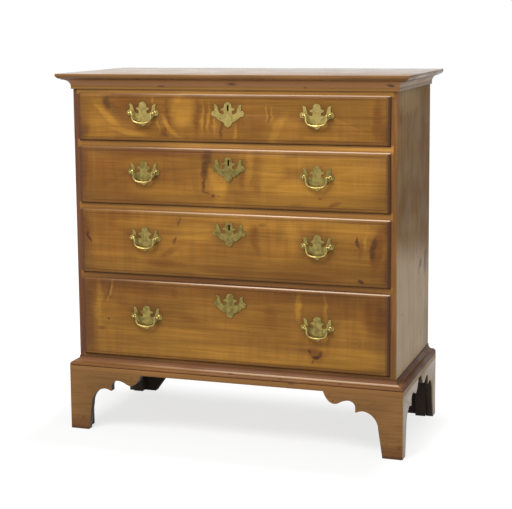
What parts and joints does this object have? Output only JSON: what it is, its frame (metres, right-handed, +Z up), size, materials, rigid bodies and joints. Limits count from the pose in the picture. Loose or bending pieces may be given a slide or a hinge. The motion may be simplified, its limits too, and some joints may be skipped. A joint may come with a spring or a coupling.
{
  "type": "chest of drawers",
  "caption": "Flat-fronted maple chest of graduated lipped drawers with bat-wing brass bail pulls and locks, a cove-moulded top and an ogee base on scrolled bracket feet.",
  "frame": {"origin": "on the floor, at the middle of the plan", "axes": "+Z up, the drawers face -Y, +X to the right of someone facing the drawers"},
  "size_m": [0.974, 0.447, 0.99],
  "materials": {
    "maple_case": "waxed red-brown maple",
    "maple_front": "waxed figured maple",
    "pine": "unfinished old pine",
    "brass": "aged cast brass",
    "iron": "dark wrought iron"
  },
  "bodies": {
    "case": {"back_boards": "pine", "base_moulding_front": "maple_case", "base_moulding_returns": "maple_case", "base_rail": "pine", "bottom_board": "pine", "case_side_left": "maple_case", "case_side_right": "maple_case", "cornice_front": "maple_case", "cornice_returns": "maple_case", "drawer_dividers": "maple_case", "drawer_runners": "pine", "foot_glue_blocks": "pine", "front_foot_brackets": "maple_case", "rear_foot_brackets": "pine", "side_foot_brackets": "maple_case", "top_board": "maple_case", "top_rail": "maple_case"},
    "drawer_1": {"drawer_1_back": "pine", "drawer_1_bottom": "pine", "drawer_1_escutcheon": "brass", "drawer_1_front": "maple_front", "drawer_1_lock": "iron", "drawer_1_pull_plates": "brass", "drawer_1_pull_posts": "brass", "drawer_1_sides": "pine"},
    "drawer_1_bail_left": {"drawer_1_bail_left": "brass"},
    "drawer_1_bail_right": {"drawer_1_bail_right": "brass"},
    "drawer_1_lock_bolt": {"drawer_1_lock_bolt": "iron"},
    "drawer_2": {"drawer_2_back": "pine", "drawer_2_bottom": "pine", "drawer_2_escutcheon": "brass", "drawer_2_front": "maple_front", "drawer_2_lock": "iron", "drawer_2_pull_plates": "brass", "drawer_2_pull_posts": "brass", "drawer_2_sides": "pine"},
    "drawer_2_bail_left": {"drawer_2_bail_left": "brass"},
    "drawer_2_bail_right": {"drawer_2_bail_right": "brass"},
    "drawer_2_lock_bolt": {"drawer_2_lock_bolt": "iron"},
    "drawer_3": {"drawer_3_back": "pine", "drawer_3_bottom": "pine", "drawer_3_escutcheon": "brass", "drawer_3_front": "maple_front", "drawer_3_lock": "iron", "drawer_3_pull_plates": "brass", "drawer_3_pull_posts": "brass", "drawer_3_sides": "pine"},
    "drawer_3_bail_left": {"drawer_3_bail_left": "brass"},
    "drawer_3_bail_right": {"drawer_3_bail_right": "brass"},
    "drawer_3_lock_bolt": {"drawer_3_lock_bolt": "iron"},
    "drawer_4": {"drawer_4_back": "pine", "drawer_4_bottom": "pine", "drawer_4_escutcheon": "brass", "drawer_4_front": "maple_front", "drawer_4_pull_plates": "brass", "drawer_4_pull_posts": "brass", "drawer_4_sides": "pine"},
    "drawer_4_bail_left": {"drawer_4_bail_left": "brass"},
    "drawer_4_bail_right": {"drawer_4_bail_right": "brass"}
  },
  "joints": [
    {"name": "drawer_1_slide", "type": "slide", "parent": "case", "child": "drawer_1", "axis": [0, -1, 0], "range_m": [0, 0.3]},
    {"name": "drawer_1_bail_left_swing", "type": "hinge", "parent": "drawer_1", "child": "drawer_1_bail_left", "pos_m": [-0.242, -0.2066, 0.886], "axis": [-1, 0, 0], "range_deg": [-15, 190]},
    {"name": "drawer_1_bail_right_swing", "type": "hinge", "parent": "drawer_1", "child": "drawer_1_bail_right", "pos_m": [0.242, -0.2066, 0.886], "axis": [-1, 0, 0], "range_deg": [-15, 190]},
    {"name": "drawer_1_lock_bolt_throw", "type": "slide", "parent": "drawer_1", "child": "drawer_1_lock_bolt", "axis": [0, 0, 1], "range_m": [0, 0.007]},
    {"name": "drawer_2_slide", "type": "slide", "parent": "case", "child": "drawer_2", "axis": [0, -1, 0], "range_m": [0, 0.3]},
    {"name": "drawer_2_bail_left_swing", "type": "hinge", "parent": "drawer_2", "child": "drawer_2_bail_left", "pos_m": [-0.242, -0.2066, 0.727], "axis": [-1, 0, 0], "range_deg": [-15, 190]},
    {"name": "drawer_2_bail_right_swing", "type": "hinge", "parent": "drawer_2", "child": "drawer_2_bail_right", "pos_m": [0.242, -0.2066, 0.727], "axis": [-1, 0, 0], "range_deg": [-15, 190]},
    {"name": "drawer_2_lock_bolt_throw", "type": "slide", "parent": "drawer_2", "child": "drawer_2_lock_bolt", "axis": [0, 0, 1], "range_m": [0, 0.007]},
    {"name": "drawer_3_slide", "type": "slide", "parent": "case", "child": "drawer_3", "axis": [0, -1, 0], "range_m": [0, 0.3]},
    {"name": "drawer_3_bail_left_swing", "type": "hinge", "parent": "drawer_3", "child": "drawer_3_bail_left", "pos_m": [-0.242, -0.2066, 0.547], "axis": [-1, 0, 0], "range_deg": [-15, 190]},
    {"name": "drawer_3_bail_right_swing", "type": "hinge", "parent": "drawer_3", "child": "drawer_3_bail_right", "pos_m": [0.242, -0.2066, 0.547], "axis": [-1, 0, 0], "range_deg": [-15, 190]},
    {"name": "drawer_3_lock_bolt_throw", "type": "slide", "parent": "drawer_3", "child": "drawer_3_lock_bolt", "axis": [0, 0, 1], "range_m": [0, 0.007]},
    {"name": "drawer_4_slide", "type": "slide", "parent": "case", "child": "drawer_4", "axis": [0, -1, 0], "range_m": [0, 0.3]},
    {"name": "drawer_4_bail_left_swing", "type": "hinge", "parent": "drawer_4", "child": "drawer_4_bail_left", "pos_m": [-0.242, -0.2066, 0.331], "axis": [-1, 0, 0], "range_deg": [-15, 190]},
    {"name": "drawer_4_bail_right_swing", "type": "hinge", "parent": "drawer_4", "child": "drawer_4_bail_right", "pos_m": [0.242, -0.2066, 0.331], "axis": [-1, 0, 0], "range_deg": [-15, 190]}
  ]
}
